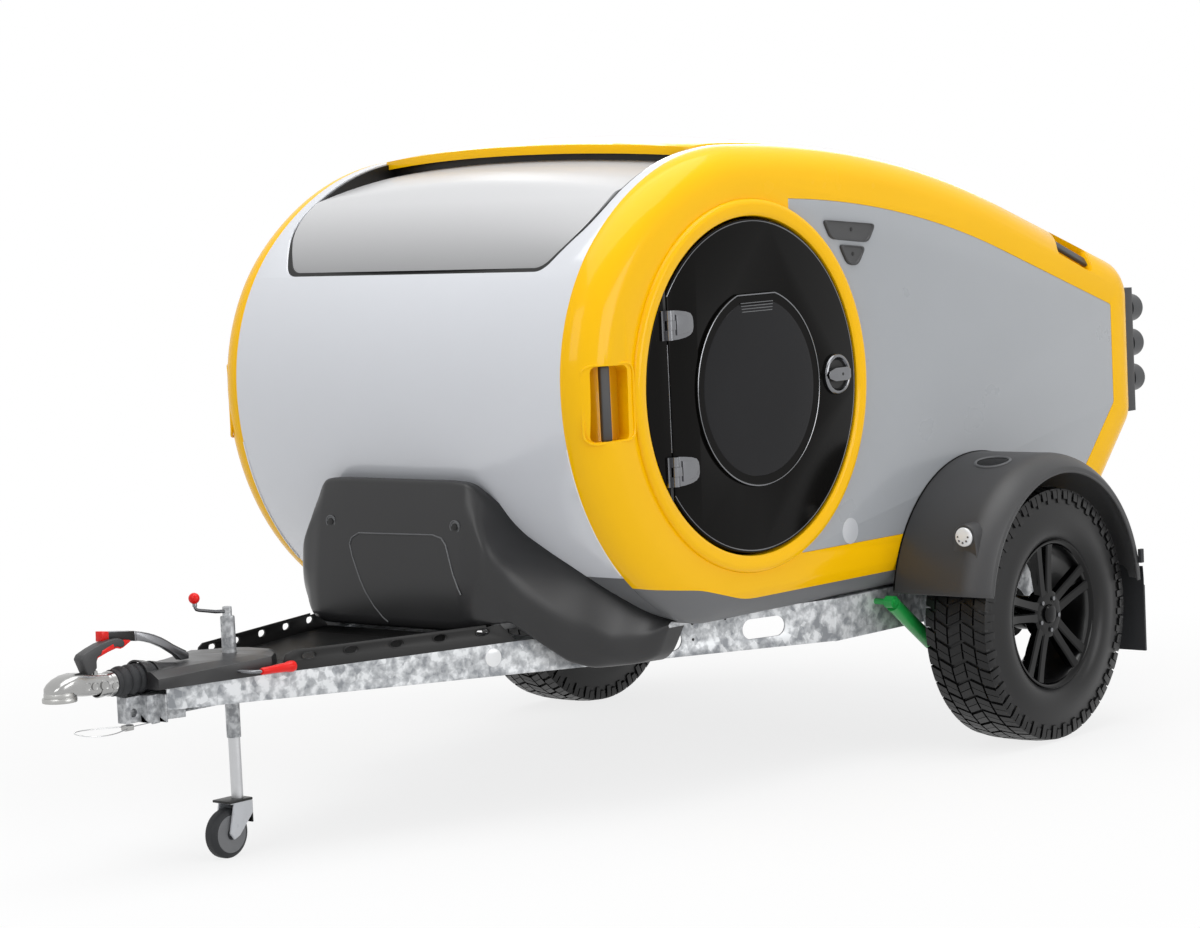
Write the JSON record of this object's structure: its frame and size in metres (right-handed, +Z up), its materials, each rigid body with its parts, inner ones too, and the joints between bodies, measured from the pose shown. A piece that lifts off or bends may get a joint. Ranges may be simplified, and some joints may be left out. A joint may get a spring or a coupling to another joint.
{
  "type": "teardrop camping trailer",
  "caption": "Teardrop camping trailer with a rounded two-tone cabin, round side doors, rear galley hatch, mudguards, galvanised V drawbar, ball coupling and wind-up jockey wheel.",
  "frame": {"origin": "on the ground under the middle of the overall length, on the centre line", "axes": "+X forwards to the coupling, +Y to the trailer's left, +Z up; the trailer stands level on its wheels and jockey wheel"},
  "size_m": [4.067, 2.084, 1.845],
  "materials": {
    "yellow_paint": "gloss",
    "grey_panel": "satin",
    "silver_white": "gloss",
    "dark_plastic": "matte",
    "skirt_plastic": "satin",
    "black_gloss": "gloss",
    "dark_glass": "gloss",
    "mirror_glass": "gloss",
    "galvanised": "spangled",
    "black_rubber": "matte",
    "tyre": "matte",
    "alloy": "black gloss",
    "chrome": "satin",
    "lamp": "satin",
    "wood": "oiled",
    "floor": "matte",
    "green_paint": "gloss",
    "cast": "zinc plated",
    "tray_black": "satin",
    "red_plastic": "gloss",
    "cable": "bright"
  },
  "bodies": {
    "trailer": {"side_frame_left": "yellow_paint", "side_frame_right": "yellow_paint", "side_panel_left": "grey_panel", "side_panel_right": "grey_panel", "side_skirts": "skirt_plastic", "front_shell": "silver_white", "roof_panel": "yellow_paint", "rear_shell": "silver_white", "floor_pan": "floor", "galley_unit": "wood", "front_window": "mirror_glass", "window_gasket": "black_rubber", "door_rings": "yellow_paint", "door_posts": "black_gloss", "hinge_pins": "chrome", "hatch_hinges": "chrome", "drawbar_rail_left": "galvanised", "drawbar_rail_right": "galvanised", "side_members": "galvanised", "cross_members": "galvanised", "axle_beam": "galvanised", "swing_arms": "galvanised", "shock_absorbers": "green_paint", "mudguard_left": "dark_plastic", "mudguard_right": "dark_plastic", "mud_flaps": "black_rubber", "marker_lamps": "lamp", "lamp_panels": "dark_plastic", "rear_lamps": "lamp", "side_vents": "dark_plastic", "grab_bars": "dark_plastic", "front_console": "dark_plastic", "cargo_tray": "tray_black", "nose_bracket": "galvanised", "brake_rod": "galvanised", "drawbar_cover": "dark_plastic", "drawbar_shaft": "galvanised", "bellows": "black_rubber", "coupling_head": "cast", "coupling_handle": "dark_plastic", "handbrake_lever": "dark_plastic", "jockey_tube": "galvanised", "clamp_handle": "red_plastic", "breakaway_cable": "cable", "cable_ferrule": "cable"},
    "road_wheel_left": {"tyre_left": "tyre", "wheel_left": "alloy"},
    "road_wheel_right": {"tyre_right": "tyre", "wheel_right": "alloy"},
    "cabin_door_left": {"door_left": "black_gloss", "door_window_left": "dark_glass", "door_hardware_left": "chrome"},
    "cabin_door_right": {"door_right": "black_gloss", "door_window_right": "dark_glass", "door_hardware_right": "chrome"},
    "galley_hatch": {"rear_hatch": "yellow_paint"},
    "jockey_inner_leg": {"jockey_leg": "galvanised"},
    "jockey_swivel_fork": {"jockey_fork": "tray_black"},
    "jockey_roller": {"jockey_wheel": "black_rubber"}
  },
  "joints": [
    {"name": "wheel_left_spin", "type": "hinge", "parent": "trailer", "child": "road_wheel_left", "pos_m": [-0.9835, 0.892, 0.3795], "axis": [0, 1, 0], "continuous": true},
    {"name": "wheel_right_spin", "type": "hinge", "parent": "trailer", "child": "road_wheel_right", "pos_m": [-0.9835, -0.892, 0.3795], "axis": [0, 1, 0], "continuous": true},
    {"name": "door_left_hinge", "type": "hinge", "parent": "trailer", "child": "cabin_door_left", "pos_m": [0.4275, 0.731, 1.136], "axis": [0, 0, -1], "range_deg": [0, 95]},
    {"name": "door_right_hinge", "type": "hinge", "parent": "trailer", "child": "cabin_door_right", "pos_m": [0.4275, -0.731, 1.136], "axis": [0, 0, 1], "range_deg": [0, 95]},
    {"name": "rear_hatch_hinge", "type": "hinge", "parent": "trailer", "child": "galley_hatch", "pos_m": [-1.18, 0, 1.66745], "axis": [0, 1, 0], "range_deg": [0, 80]},
    {"name": "jockey_slide", "type": "slide", "parent": "trailer", "child": "jockey_inner_leg", "axis": [0, 0, 1], "range_m": [-0.05, 0.15]},
    {"name": "jockey_swivel", "type": "hinge", "parent": "jockey_inner_leg", "child": "jockey_swivel_fork", "pos_m": [1.4095, 0, 0.15], "axis": [0, 0, 1], "continuous": true},
    {"name": "jockey_wheel_spin", "type": "hinge", "parent": "jockey_swivel_fork", "child": "jockey_roller", "pos_m": [1.4555, 0, 0.065], "axis": [0, 1, 0], "continuous": true}
  ]
}
